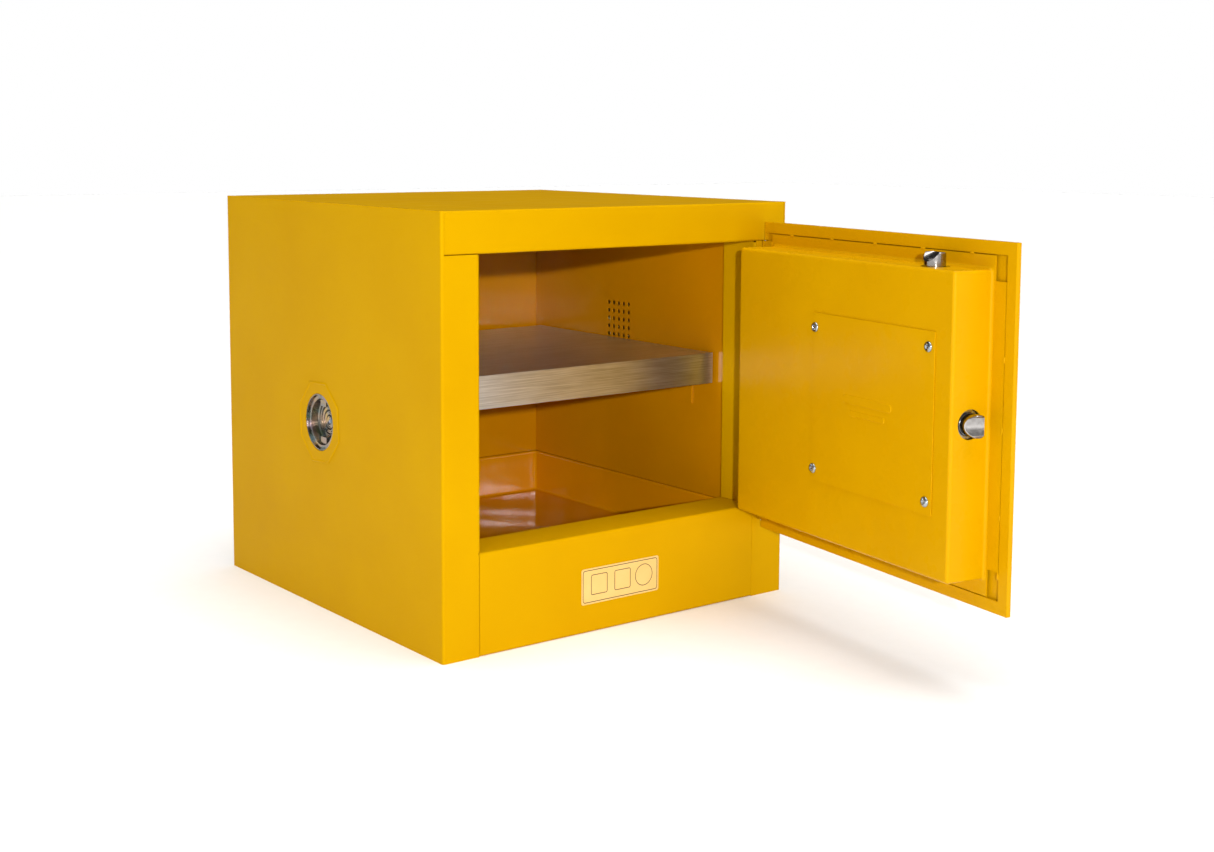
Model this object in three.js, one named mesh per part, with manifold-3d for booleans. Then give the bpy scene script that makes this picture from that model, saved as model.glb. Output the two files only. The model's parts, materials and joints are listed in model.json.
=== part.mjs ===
// Bench-top flammable storage cabinet: double-wall sheet-steel box, one overlay door on a piano hinge, a paddle
// latch with two sprung bolts, a leak-proof sump, a zinc-coated shelf and two bung vents.
// Millimetres, +Z up, front of the cabinet towards -Y. The origin is the middle of the cabinet's footprint.
import * as THREE from 'three';
import { mergeVertices } from 'three/addons/utils/BufferGeometryUtils.js';
import Module from 'manifold-3d';

const wasm = await Module();
wasm.setup();

// ---- driving dimensions ----
const cabinetWidth = 441.3;
const cabinetDepth = 460.4;
const cabinetHeight = 432;
const sheet = 1.2; // 18 gauge steel
const gap = 0.3; // between pieces that touch
const bend = 1.5; // inside radius of a fold
const stileWidth = 43;
const openingWidth = 353;
const sillHeight = 102;
const headHeight = 390.5;
const frameDepth = 50; // how far the jambs, header and sill fold inwards
const cornerReveal = 3.5; // side panel's edge showing beside the header
const sideWall = 40.3; // outer face to liner face
const backWall = 46;
const ceilingHeight = 391;
const sumpRim = 97.8;
const sumpDepth = 50.3;
const liningStep = 1.8; // sump walls stand this far inside the liners
const ventY = 12.8;
const leftVentZ = 200;
const rightVentZ = 284;
const ventApothem = 42; // octagonal flange and the pad it presses into the side panel
const ventTilt = -3; // degrees the octagon is turned
const padHeight = 0.4;
const doorOpening = 81; // degrees from closed, at rest
const hingeX = 405.8; // pin, from the cabinet's left side
const hingeOut = 4.9; // pin, ahead of the front face
const hingeLength = 304.8;
const hingeBottom = 86.1;
const boltRadius = 10.5;
const boltFlat = 5.5;
const boltReach = 13;
const boltDepth = 17.1; // bolt axis behind the front face, door closed
const sideBoltZ = 248.5;
const topBoltX = 100.4;
const crankX = 150;
const crankZ = 272.5;
const crankRadius = 24;
const crankSwing = 29.4;

const leftX = -cabinetWidth / 2;
const rightX = cabinetWidth / 2;
const frontY = -cabinetDepth / 2;
const backY = cabinetDepth / 2;
const openingLeft = leftX + stileWidth;
const openingRight = openingLeft + openingWidth;
const innerX = rightX - sideWall;
const innerBack = backY - backWall;
const linerFront = frontY + frameDepth + gap;
const linerBottom = sumpRim + 0.5;

// ---- materials ----
const finishes = {
  yellow: { color: 0xf2b600, roughness: 0.34, metalness: 0.0 },
  liner: { color: 0xe0a000, roughness: 0.36, metalness: 0.0 },
  zinc: { color: 0xb9b6ae, roughness: 0.28, metalness: 1.0 },
  galvanised: { color: 0xa79c8e, roughness: 0.42, metalness: 0.9 },
  chrome: { color: 0xcfcfd2, roughness: 0.12, metalness: 1.0 },
  latch: { color: 0x24262a, roughness: 0.45, metalness: 0.2 },
  brass: { color: 0xb5964e, roughness: 0.35, metalness: 1.0 },
  rubber: { color: 0x1b1b1c, roughness: 0.8, metalness: 0.0 },
  label: { color: 0xe8bd6c, roughness: 0.5, metalness: 0.0 },
};

// ---- geometry helpers ----
function toSolid(geometry) {
  geometry.deleteAttribute('normal');
  geometry.deleteAttribute('uv');
  const merged = mergeVertices(geometry, 1e-4);
  return new wasm.Manifold(new wasm.Mesh({
    numProp: 3,
    vertProperties: new Float32Array(merged.attributes.position.array),
    triVerts: new Uint32Array(merged.index.array),
  }));
}

function toGeometry(solid) {
  const mesh = solid.getMesh();
  const geometry = new THREE.BufferGeometry();
  geometry.setAttribute('position', new THREE.BufferAttribute(new Float32Array(mesh.vertProperties), 3));
  geometry.setIndex(new THREE.BufferAttribute(new Uint32Array(mesh.triVerts), 1));
  geometry.computeVertexNormals();
  return geometry;
}

// A block from its lowest to its highest corner.
function block(x0, x1, y0, y1, z0, z1) {
  const geometry = new THREE.BoxGeometry(x1 - x0, y1 - y0, z1 - z0);
  geometry.translate((x0 + x1) / 2, (y0 + y1) / 2, (z0 + z1) / 2);
  return toSolid(geometry);
}

const axes = {
  x: new THREE.Matrix4().makeBasis(
    new THREE.Vector3(0, 1, 0), new THREE.Vector3(0, 0, 1), new THREE.Vector3(1, 0, 0)),
  y: new THREE.Matrix4().makeBasis(
    new THREE.Vector3(0, 0, 1), new THREE.Vector3(1, 0, 0), new THREE.Vector3(0, 1, 0)),
  z: new THREE.Matrix4(),
};

// A round bar along an axis ('x', 'y' or 'z') from a to b, centred on (u, v) in the other two axes, in cyclic order.
function bar(axis, radius, a, b, u, v, sides = 24) {
  const geometry = new THREE.CylinderGeometry(radius, radius, b - a, sides);
  geometry.rotateX(Math.PI / 2);
  geometry.translate(u, v, (a + b) / 2);
  geometry.applyMatrix4(axes[axis]);
  return toSolid(geometry);
}

// A flat outline in the plane across an axis, extruded from a to b along it. Points are in cyclic axis order.
function plate(axis, outline, a, b) {
  const shape = new THREE.Shape(outline.map(([u, v]) => new THREE.Vector2(u, v)));
  const geometry = new THREE.ExtrudeGeometry(shape, { depth: b - a, bevelEnabled: false });
  geometry.translate(0, 0, a);
  geometry.applyMatrix4(axes[axis]);
  return toSolid(geometry);
}

// A profile turned about an axis, from one end on the axis to the other. Points are [radius, distance along it].
function turned(axis, profile, u, v, sides = 32) {
  const geometry = new THREE.LatheGeometry(profile.map(([r, h]) => new THREE.Vector2(r, h)), sides);
  geometry.rotateX(Math.PI / 2);
  geometry.translate(u, v, 0);
  geometry.applyMatrix4(axes[axis]);
  return toSolid(geometry);
}

// Outline of one bent sheet: a path with rounded folds and its offset by one thickness to the left or right.
function foldedOutline(path, side) {
  const near = [];
  const far = [];
  const put = (x, y, nx, ny) => {
    near.push([x, y]);
    far.push([x + nx * sheet, y + ny * sheet]);
  };
  const normal = (dx, dy) => [-dy * side, dx * side];
  for (let i = 0; i < path.length; i += 1) {
    const [x, y] = path[i];
    const before = i > 0 ? unit(path[i - 1], path[i]) : null;
    const after = i < path.length - 1 ? unit(path[i], path[i + 1]) : null;
    if (!before || !after) {
      const [nx, ny] = normal(...(before ?? after));
      put(x, y, nx, ny);
      continue;
    }
    const turn = Math.sign(before[0] * after[1] - before[1] * after[0]) * side;
    const radius = turn > 0 ? bend + sheet : bend;
    const [n0x, n0y] = normal(...before);
    const [n1x, n1y] = normal(...after);
    const centreX = x + (n0x + n1x) * radius * turn;
    const centreY = y + (n0y + n1y) * radius * turn;
    for (let step = 0; step <= 3; step += 1) {
      const t = step * Math.PI / 6;
      const nx = n0x * Math.cos(t) + n1x * Math.sin(t);
      const ny = n0y * Math.cos(t) + n1y * Math.sin(t);
      put(centreX - nx * radius * turn, centreY - ny * radius * turn, nx, ny);
    }
  }
  return [...near, ...far.reverse()];
}

function unit([ax, ay], [bx, by]) {
  const length = Math.hypot(bx - ax, by - ay);
  return [(bx - ax) / length, (by - ay) / length];
}

// ---- cabinet shell ----
function sidePanel(ventZ) {
  const path = [
    [leftX + 14, backY],
    [leftX, backY],
    [leftX, frontY],
    [openingLeft, frontY],
    [openingLeft, frontY + frameDepth],
  ];
  let panel = plate('z', foldedOutline(path, 1), 0, cabinetHeight);
  const past = 1;
  panel = panel.subtract(block(leftX + cornerReveal - gap, openingLeft + past, frontY - past,
    linerFront, headHeight - gap, cabinetHeight + past)); // room for the header
  panel = panel.subtract(block(openingLeft - sheet - gap, openingLeft + past, frontY - past,
    linerFront, -past, sillHeight + gap)); // room for the kick panel and sill
  panel = panel.subtract(block(leftX + cornerReveal - gap, leftX + 14 + past, backY - 4,
    backY + past, cabinetHeight - 14 - gap, cabinetHeight + past)); // room for the top's rear fold
  const reliefSize = 2.6;
  for (const z of [sillHeight, headHeight]) {
    panel = panel.subtract(block(openingLeft - reliefSize, openingLeft + past, frontY - past,
      frontY + bend + sheet + past, z - reliefSize / 2, z + reliefSize / 2)); // bend relief
  }
  panel = panel.add(block(leftX + sheet / 2, leftX + cornerReveal - gap, frontY + sheet / 2,
    backY - sheet / 2, cabinetHeight - sheet, cabinetHeight)); // narrow top fold
  panel = panel.add(plate('x', ventOctagon(ventZ), leftX - padHeight, leftX + sheet)); // pad around the vent
  panel = panel.subtract(bar('x', 30.6, leftX - past, leftX + 2 * sheet, ventY, ventZ, 32));
  return panel;
}

function leftSidePanel() {
  const strike = bar('x', 13.5, openingLeft - 3, openingLeft + 1, frontY + boltDepth, sideBoltZ);
  return sidePanel(leftVentZ).subtract(strike);
}

function rightSidePanel() {
  const panel = sidePanel(rightVentZ).mirror([1, 0, 0]);
  const shift = openingRight + openingLeft; // the hinge stile is wider or narrower by this much
  const stile = block(openingRight - 1, openingRight + 60, frontY - 1, linerFront, -1, cabinetHeight + 1);
  const keep = panel.subtract(block(rightX - stileWidth - 1, rightX - 6, frontY - 1, linerFront, -1,
    cabinetHeight + 1));
  const moved = panel.translate([shift, 0, 0]).intersect(
    block(openingRight - 1, rightX - 8, frontY - 1, linerFront, -1, cabinetHeight + 1));
  const bridge = block(rightX - 8.5, rightX - 5.5, frontY, frontY + sheet, 0, headHeight - gap);
  const groundHole = bar('x', 3.3, rightX - 3, rightX + 1, groundY, groundZ, 12);
  return keep.add(moved.intersect(stile)).add(bridge).subtract(groundHole);
}

function topPanel() {
  const path = [
    [frontY + frameDepth, headHeight],
    [frontY, headHeight],
    [frontY, cabinetHeight],
    [backY, cabinetHeight],
    [backY, cabinetHeight - 14],
  ];
  const width = rightX - cornerReveal;
  const panel = plate('x', foldedOutline(path, -1), -width, width);
  const strike = bar('z', 13.5, headHeight - 1, headHeight + 3, leftX + topBoltX, frontY + boltDepth);
  return panel.subtract(strike);
}

function kickPanel() {
  const path = [
    [frontY + 12, 0],
    [frontY, 0],
    [frontY, sillHeight],
    [frontY + frameDepth, sillHeight],
  ];
  return plate('x', foldedOutline(path, -1), openingLeft - sheet + 0.2, openingRight + sheet - 0.2);
}

function backPanel() {
  const y = backY - sheet - gap;
  const inset = sheet + bend + gap; // clear of the folds' inside radius
  return block(leftX + inset, rightX - inset, y - sheet, y, sheet + gap, cabinetHeight - inset);
}

function bottomPanel() {
  const inset = sheet + bend + gap;
  return block(leftX + inset, rightX - inset, frontY + 12 + gap, backY - inset, 0, sheet);
}

// ---- inner lining ----
function sideLiner(ventZ) {
  let liner = block(-innerX - sheet, -innerX, linerFront, innerBack - gap, linerBottom, ceilingHeight + sheet);
  const pitch = 9.5;
  const holes = [];
  for (let row = -2; row <= 2; row += 1) {
    for (let column = -2; column <= 2; column += 1) {
      holes.push(bar('x', 2.6, -innerX - 3, -innerX + 2, ventY + column * pitch, ventZ + row * pitch, 10));
    }
  }
  for (const hole of holes) {
    liner = liner.subtract(hole);
  }
  return liner;
}

function backLiner() {
  return block(-innerX - sheet, innerX + sheet, innerBack, innerBack + sheet, linerBottom,
    ceilingHeight + sheet);
}

function ceilingLiner() {
  return block(-innerX + gap, innerX - gap, linerFront + 1.5, innerBack - gap, ceilingHeight,
    ceilingHeight + sheet);
}

function roundedBlock(x0, x1, y0, y1, z0, z1, r) {
  const outline = [];
  const corners = [[x1 - r, y1 - r], [x0 + r, y1 - r], [x0 + r, y0 + r], [x1 - r, y0 + r]];
  corners.forEach(([cx, cy], i) => {
    for (let step = 0; step <= 3; step += 1) {
      const t = (i + step / 3) * Math.PI / 2;
      outline.push([cx + r * Math.cos(t), cy + r * Math.sin(t)]);
    }
  });
  return plate('z', outline, z0, z1);
}

function sumpPan() {
  const x = innerX - liningStep;
  const y0 = frontY + frameDepth + 1.5;
  const y1 = innerBack - liningStep;
  const floor = sumpRim - sumpDepth;
  const lip = 12;
  const outer = roundedBlock(-x - sheet, x + sheet, y0 - sheet, y1 + sheet, floor - sheet, sumpRim, 5);
  const rim = roundedBlock(-x - lip, x + lip, y0 - lip, y1 + lip, sumpRim - sheet, sumpRim, 5);
  const hollow = roundedBlock(-x, x, y0, y1, floor, sumpRim + 1, 4);
  return outer.add(rim).subtract(hollow);
}

// ---- shelf and its brackets ----
const shelfTop = 262.5;
const shelfFlange = 34;
const shelfHalf = 176;
const shelfFront = frontY + 67;
const shelfBack = shelfFront + 329;

function shelf() {
  const bottom = shelfTop - shelfFlange;
  const body = block(-shelfHalf, shelfHalf, shelfFront, shelfBack, bottom, shelfTop);
  const under = block(-shelfHalf + sheet, shelfHalf - sheet, shelfFront + sheet, shelfBack - sheet,
    bottom - 1, shelfTop - sheet);
  const hem = block(-shelfHalf + 5, shelfHalf - 5, shelfFront + sheet / 2, shelfFront + 12, bottom,
    bottom + sheet);
  return body.subtract(under).add(hem);
}

function shelfBracket(side, y) {
  const top = shelfTop - shelfFlange - gap;
  const wall = innerX - gap;
  const upright = block(wall - 1.9, wall, y - 20, y + 20, top - 28, top);
  const ledge = block(wall - 14, wall, y - 20, y + 20, top - 1.9, top);
  const angle = upright.add(ledge);
  return side < 0 ? angle.mirror([1, 0, 0]) : angle;
}

// ---- vents, built for the left side; depth counts inwards from the outer face ----
const ventCup = 24.2;

function ventDepth(d) {
  return leftX + d;
}

function ventOctagon(ventZ) {
  const corner = ventApothem / Math.cos(Math.PI / 8);
  const tilt = ventTilt * Math.PI / 180;
  return Array.from({ length: 8 }, (unused, i) => {
    const t = tilt + (i + 0.5) * Math.PI / 4;
    return [ventY + corner * Math.cos(t), ventZ + corner * Math.sin(t)];
  });
}

function ventFlange(ventZ) {
  const base = plate('x', ventOctagon(ventZ), ventDepth(sheet + gap), ventDepth(sheet + gap + 2.2));
  const neck = bar('x', 30.2, ventDepth(0.2), ventDepth(17), ventY, ventZ, 32);
  const mouth = bar('x', 29, ventDepth(-1), ventDepth(5.4), ventY, ventZ, 32);
  const bore = bar('x', 26.3, ventDepth(-1), ventDepth(18), ventY, ventZ, 32);
  return base.add(neck).subtract(mouth).subtract(bore);
}

function ventGasket(ventZ) {
  const ring = bar('x', 28.4, ventDepth(4.3), ventDepth(5.1), ventY, ventZ, 32);
  return ring.subtract(bar('x', 26.3, ventDepth(4), ventDepth(6), ventY, ventZ, 32));
}

function ventPlug(ventZ) {
  const rim = bar('x', 28.4, ventDepth(2.5), ventDepth(4), ventY, ventZ, 32);
  const body = bar('x', 25.9, ventDepth(3), ventDepth(14.5), ventY, ventZ, 32);
  const cup = bar('x', ventCup, ventDepth(1), ventDepth(12.5), ventY, ventZ, 32);
  let plug = rim.add(body).subtract(cup);
  for (const end of [-1, 1]) {
    const z0 = ventZ + end * 21.5;
    const lug = block(ventDepth(5), ventDepth(13), ventY - 6, ventY + 6, z0 - 3.4, z0 + 3.4);
    plug = plug.add(lug);
  }
  return plug;
}

function ventDuct(ventZ) {
  const duct = bar('x', 26.6, ventDepth(17.3), ventDepth(sideWall - sheet - gap), ventY, ventZ);
  return duct.subtract(bar('x', 25.4, ventDepth(16), ventDepth(sideWall), ventY, ventZ));
}

function ventScreen(ventZ) {
  return bar('x', 25, ventDepth(34), ventDepth(35), ventY, ventZ);
}

// ---- fittings ----
const groundY = backY - 42;
const groundZ = 34;

function groundStud() {
  const head = bar('x', 5.8, rightX - sheet - gap - 4, rightX - sheet - gap, groundY, groundZ, 6);
  return head.add(bar('x', 3, rightX - 3, rightX + 9, groundY, groundZ, 12));
}

function groundNut() {
  const nut = bar('x', 5.8, rightX + gap, rightX + 5.3, groundY, groundZ, 6);
  return nut.subtract(bar('x', 3.3, rightX - 1, rightX + 7, groundY, groundZ, 12));
}

function frontLabel() {
  const y = frontY - gap;
  return block(leftX + 164, leftX + 264.5, y - 0.25, y, 29.5, 66.5);
}

// ---- hinge; coordinates from here on are relative to the pin and the front face of a closed door ----
const pinX = leftX + hingeX;
const pinY = frontY - hingeOut;
const knuckles = 8;
const knuckleRadius = 2.6;

function hingeLeaf(own, leafX, leafY) {
  const pitch = hingeLength / knuckles;
  let leaf = block(leafX[0], leafX[1], leafY[0], leafY[1], hingeBottom, hingeBottom + hingeLength);
  for (let i = own; i < knuckles; i += 2) {
    const z0 = hingeBottom + i * pitch + (i > 0 ? gap : 0);
    const z1 = hingeBottom + (i + 1) * pitch;
    leaf = leaf.add(bar('z', knuckleRadius, z0, z1, 0, 0, 12));
    leaf = leaf.add(block(leafX[1] - 0.5, -0.2, leafY[0], leafY[1], z0, z1));
    if (leafY[0] > knuckleRadius) {
      leaf = leaf.add(block(-2.2, -0.2, 1.6, leafY[1], z0, z1)); // joggle from the leaf up to the knuckle
    }
  }
  return leaf.subtract(bar('z', 1.4, hingeBottom - 1, hingeBottom + hingeLength + 1, 0, 0, 12));
}

function cabinetHingeLeaf() {
  return hingeLeaf(0, [396.8 - hingeX, -1.8], [hingeOut - gap - sheet, hingeOut - gap]).translate([pinX, pinY, 0]);
}

function doorHingeLeaf() {
  return hingeLeaf(1, [390 - hingeX, -3.3], [0.8, 2]);
}

function hingePin() {
  return bar('z', 1.15, hingeBottom - 0.8, hingeBottom + hingeLength + 0.8, pinX, pinY, 12);
}

// ---- door ----
const doorFace = -9.4 + hingeOut; // outer face, from the pin
const doorHem = 5; // thickness at the hemmed edge
const hemWidth = 12;
const doorEdge = { x0: 17.4 - hingeX, x1: 405.4 - hingeX, z0: 77.5, z1: 411.5 };
const pan = { x0: 47.7 - hingeX, x1: 387.9 - hingeX, z0: 105.5, z1: 386, y1: 38.8 + hingeOut };
const flange = { x0: 30.2 - hingeX, x1: 401.8 - hingeX, z0: 90.3, z1: 398.7 };
const hemBack = doorFace + doorHem;
const boltY = boltDepth + hingeOut;

function doorSkin() {
  const { x0, x1, z0, z1 } = doorEdge;
  let skin = block(x0, x1, doorFace, hemBack, z0, z1);
  skin = skin.subtract(block(x0 + sheet, x1 - sheet, doorFace + sheet, hemBack + 1, z0 + sheet, z1 - sheet));
  const hems = [
    [x0, x1, z1 - hemWidth, z1],
    [x0, x1, z0, z0 + hemWidth],
    [x0, x0 + hemWidth, z0, z1],
  ];
  for (const [hx0, hx1, hz0, hz1] of hems) {
    skin = skin.add(block(hx0 + 0.2, hx1 - 0.2, hemBack - sheet, hemBack, hz0 + 0.2, hz1 - 0.2));
  }
  skin = skin.subtract(block(-3.6, 4, doorFace + sheet, hemBack + 1, hingeBottom - 1.2,
    hingeBottom + hingeLength + 1.2)); // room for the knuckles
  skin = skin.subtract(block(100 - hingeX, 200 - hingeX, doorFace - 1, hemBack, 208.5, 292.5));
  return skin;
}

function doorPan() {
  const outer = block(pan.x0, pan.x1, hemBack - sheet, pan.y1, pan.z0, pan.z1);
  const rim = block(flange.x0, flange.x1, hemBack - sheet, hemBack, flange.z0, flange.z1);
  const hollow = block(pan.x0 + sheet, pan.x1 - sheet, doorFace, pan.y1 - sheet, pan.z0 + sheet,
    pan.z1 - sheet);
  const access = block(86 - hingeX, 242 - hingeX, pan.y1 - 3, pan.y1 + 1, 183, 308);
  let body = outer.add(rim).subtract(hollow).subtract(access);
  body = body.subtract(bar('x', 13.8, pan.x0 - 2, pan.x0 + 3, boltY, sideBoltZ));
  body = body.subtract(bar('z', 13.8, pan.z1 - 3, pan.z1 + 2, topBoltX - hingeX, boltY));
  for (const [x, z] of screwPlaces) {
    body = body.subtract(bar('y', 2.4, pan.y1 - 3, pan.y1 + 1, z, x - hingeX, 10));
  }
  return body;
}

const screwPlaces = [[249.9, 316], [78.9, 316], [249.9, 175], [78.9, 175]];

function coverPlate() {
  const y = pan.y1 + gap;
  let cover = block(70.4 - hingeX, 253.9 - hingeX, y, y + 1, 163, 330.5);
  for (const [x, z] of screwPlaces) {
    cover = cover.subtract(bar('y', 2.4, y - 1, y + 2, z, x - hingeX, 10));
  }
  return cover;
}

function coverScrew([x, z]) {
  const y = pan.y1 + gap + 1 + gap;
  const head = turned('y', [[0, y], [4.2, y], [4, y + 1.1], [3, y + 1.9], [1.4, y + 2.3], [0, y + 2.4]],
    z, x - hingeX, 12);
  return head.add(bar('y', 2, y - 7, y + 0.5, z, x - hingeX, 10));
}

// ---- latch: paddle in a dish, a bell crank behind it, and two bolts ----
const paddleAxis = { y: -4 + hingeOut, z: 281.3 };
const cavity = { x0: 102 - hingeX, x1: 198 - hingeX, z0: 210.5, z1: 290.5 };
const dishFloor = 2.9 + hingeOut;

function latchDish() {
  const wall = 1.5;
  const bezel = block(96 - hingeX, 204 - hingeX, doorFace - 1.8, doorFace - gap, 204.5, 296.5);
  const tub = block(cavity.x0 - wall, cavity.x1 + wall, doorFace - 1, dishFloor + wall, cavity.z0 - wall,
    cavity.z1 + wall);
  let dish = bezel.add(tub);
  dish = dish.subtract(block(cavity.x0, cavity.x1, doorFace - 3, dishFloor, cavity.z0, cavity.z1));
  dish = dish.subtract(block(130 - hingeX, 140 - hingeX, dishFloor - 1, dishFloor + 3, 272, 285.5));
  dish = dish.subtract(bar('y', 7.9, dishFloor - 1, dishFloor + 3, lock.z, lock.x, 20));
  for (const side of [0, 1]) {
    const x = side ? cavity.x1 : cavity.x0;
    dish = dish.subtract(bar('x', 1.7, x - 3, x + 3, paddleAxis.y, paddleAxis.z, 12)); // pin holes
  }
  return dish;
}

function latchPaddle() {
  const face = doorFace - 0.2;
  const x0 = cavity.x0 + 2;
  const x1 = cavity.x1 - 2;
  let paddle = block(x0, x1, face, face + 2.2, 236, 284.3);
  paddle = paddle.add(block(x0, x1, face, face + 5, 236, 238.4)); // lip to pull on
  paddle = paddle.add(bar('x', 3.2, x0, x1, paddleAxis.y, paddleAxis.z, 16));
  paddle = paddle.add(block(x0, x1, face + 1, paddleAxis.y, 279.6, 283));
  paddle = paddle.add(block(132 - hingeX, 138 - hingeX, paddleAxis.y, 9.6 + hingeOut, 279.6, 283)); // finger
  return paddle.subtract(bar('x', 1.8, x0 - 1, x1 + 1, paddleAxis.y, paddleAxis.z, 12));
}

function paddlePin() {
  return bar('x', 1.4, cavity.x0 - 1.4, cavity.x1 + 1.4, paddleAxis.y, paddleAxis.z, 12);
}

const lock = { x: 184 - hingeX, z: 222 };

function lockCylinder() {
  const barrel = bar('y', 7.5, doorFace + 1, 20 + hingeOut, lock.z, lock.x, 20);
  const keyway = block(lock.x - 0.9, lock.x + 0.9, doorFace, doorFace + 7, lock.z - 4, lock.z + 4);
  return barrel.subtract(keyway);
}

function lockCam() {
  const y = 20.3 + hingeOut;
  const cam = block(lock.x - 5, lock.x + 5, y, y + 2, lock.z - 6, lock.z + 22);
  return cam.add(bar('y', 7, y, y + 2, lock.z, lock.x, 16));
}

// A point on the crank, as [x, z] from the pin, with the bolts out.
function crankPoint(radius, degrees) {
  const t = (degrees - crankSwing / 2) * Math.PI / 180;
  return [crankX - hingeX + radius * Math.cos(t), crankZ + radius * Math.sin(t)];
}

const sidePinAt = crankPoint(crankRadius, -90);
const topPinAt = crankPoint(crankRadius, 180);
const drivePinAt = crankPoint(15.5, 180);
const crankY = 10.2 + hingeOut;

function crank() {
  const x = crankX - hingeX;
  let arm = bar('y', 9, crankY, crankY + 2.5, crankZ, x, 24);
  for (const [px, pz] of [sidePinAt, topPinAt]) {
    arm = arm.add(bar('y', 5, crankY, crankY + 2.5, pz, px, 16));
    const [dx, dz] = unit([x, crankZ], [px, pz]);
    const half = 5;
    const corners = [[1, 0], [1, 1], [-1, 1], [-1, 0]].map(([s, e]) => [
      crankZ + dz * crankRadius * e + dx * half * s,
      x + dx * crankRadius * e - dz * half * s,
    ]);
    arm = arm.add(plate('y', corners, crankY, crankY + 2.5));
    arm = arm.add(bar('y', 2.5, crankY + 1, crankY + 7.2, pz, px, 12));
  }
  arm = arm.add(bar('y', 2.5, 5.6 + hingeOut, crankY + 1, drivePinAt[1], drivePinAt[0], 12));
  return arm.subtract(bar('y', 3.9, crankY - 1, crankY + 4, crankZ, x, 16));
}

function crankPost() {
  const x = crankX - hingeX;
  const foot = bar('y', 8, dishFloor + 1.8, dishFloor + 3, crankZ, x, 20);
  const post = bar('y', 3.5, dishFloor + 2, 15.8 + hingeOut, crankZ, x, 16);
  return foot.add(post).add(bar('y', 6, 13.1 + hingeOut, 14.4 + hingeOut, crankZ, x, 16));
}

function crankSpring() {
  const turns = 2.5;
  const helix = new THREE.CatmullRomCurve3(Array.from({ length: 31 }, (unused, i) => {
    const t = i / 30 * turns * 2 * Math.PI;
    const y = dishFloor + 3.9 + i / 30 * 2.6;
    return new THREE.Vector3(crankX - hingeX + 5.6 * Math.cos(t), y, crankZ + 5.6 * Math.sin(t));
  }));
  const section = new THREE.Shape(Array.from({ length: 6 }, (unused, i) => (
    new THREE.Vector2(0.45 * Math.cos(i * Math.PI / 3), 0.45 * Math.sin(i * Math.PI / 3)))));
  return toSolid(new THREE.ExtrudeGeometry(section, { steps: 40, extrudePath: helix, bevelEnabled: false }));
}

// A sprung bolt along +Z with its tip at the origin: flat on the -Y side, bevelled on the +Y side.
function bolt(stemEnd) {
  const tipRidge = 3.5; // the bevel starts this far past the bolt's axis
  let body = bar('z', boltRadius, -49, 0, 0, 0, 28);
  body = body.subtract(block(-20, 20, -20, -boltFlat, -boltReach - 4, 1));
  const bevel = plate('x', [[tipRidge, 1], [tipRidge, 0], [boltRadius + 1, -9], [boltRadius + 1, 1]], -20, 20);
  body = body.subtract(bevel);
  return body.add(bar('z', 5, stemEnd, -48, 0, 0, 16));
}

function sideBolt() {
  const turnedOver = new THREE.Matrix4().makeBasis(
    new THREE.Vector3(0, 0, 1), new THREE.Vector3(0, 1, 0), new THREE.Vector3(-1, 0, 0));
  const body = toGeometry(bolt(-77.3));
  body.applyMatrix4(turnedOver);
  body.translate(pan.x0 - boltReach, boltY, sideBoltZ);
  return toSolid(body);
}

function topBolt() {
  return bolt(-87.2).translate([topBoltX - hingeX, boltY, pan.z1 + boltReach]);
}

function sideLink() {
  const y = 13.3 + hingeOut;
  const start = pan.x0 - boltReach + 77.3 + gap;
  const [px, pz] = sidePinAt;
  const link = block(start, px + 7, y, y + 1.7, 243, 255.5);
  return link.subtract(block(px - 2.8, px + 2.8, y - 1, y + 3, pz - 4.2, pz + 3.6));
}

function topLink() {
  const y = 15.6 + hingeOut;
  const top = pan.z1 + boltReach - 87.2 - gap;
  const [px, pz] = topPinAt;
  const x = topBoltX - hingeX;
  const outline = [[x - 6, top], [x + 6, top], [x + 6, pz + 14], [px + 7, pz + 8], [px + 7, pz - 7],
    [px - 7, pz - 7], [x - 6, pz + 8]];
  const link = plate('y', outline.map(([u, v]) => [v, u]), y, y + 1.7);
  return link.subtract(block(px - 3.8, px + 4.2, y - 1, y + 3, pz - 2.8, pz + 2.8));
}

// A U-shaped guide on the pan's inner face, for a bolt along Z with its tip at the origin.
function boltGuide() {
  const back = pan.y1 - sheet - gap - boltY;
  let guide = block(-14, 14, back - 1.5, back, -70, -16);
  for (const [z, hole] of [[-18, boltRadius + 0.4], [-70, 5.5]]) {
    guide = guide.add(block(-14, 14, -12.2, back, z, z + 2));
    guide = guide.subtract(bar('z', hole, z - 1, z + 3, 0, 0, 24));
  }
  return guide;
}

function sideGuide() {
  const laid = new THREE.Matrix4().makeBasis(
    new THREE.Vector3(0, 0, 1), new THREE.Vector3(0, 1, 0), new THREE.Vector3(-1, 0, 0));
  const guide = toGeometry(boltGuide());
  guide.applyMatrix4(laid);
  guide.translate(pan.x0 - boltReach, boltY, sideBoltZ);
  return toSolid(guide);
}

function topGuide() {
  return boltGuide().translate([topBoltX - hingeX, boltY, pan.z1 + boltReach]);
}

// ---- assembly ----
const cabinet = new THREE.Group();
const door = new THREE.Group();
door.position.set(pinX, pinY, 0);
door.rotation.z = doorOpening * Math.PI / 180;
cabinet.add(door);

function place(group, name, finish, solid) {
  const mesh = new THREE.Mesh(toGeometry(solid), new THREE.MeshStandardMaterial(finishes[finish]));
  mesh.name = name;
  group.add(mesh);
}

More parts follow.
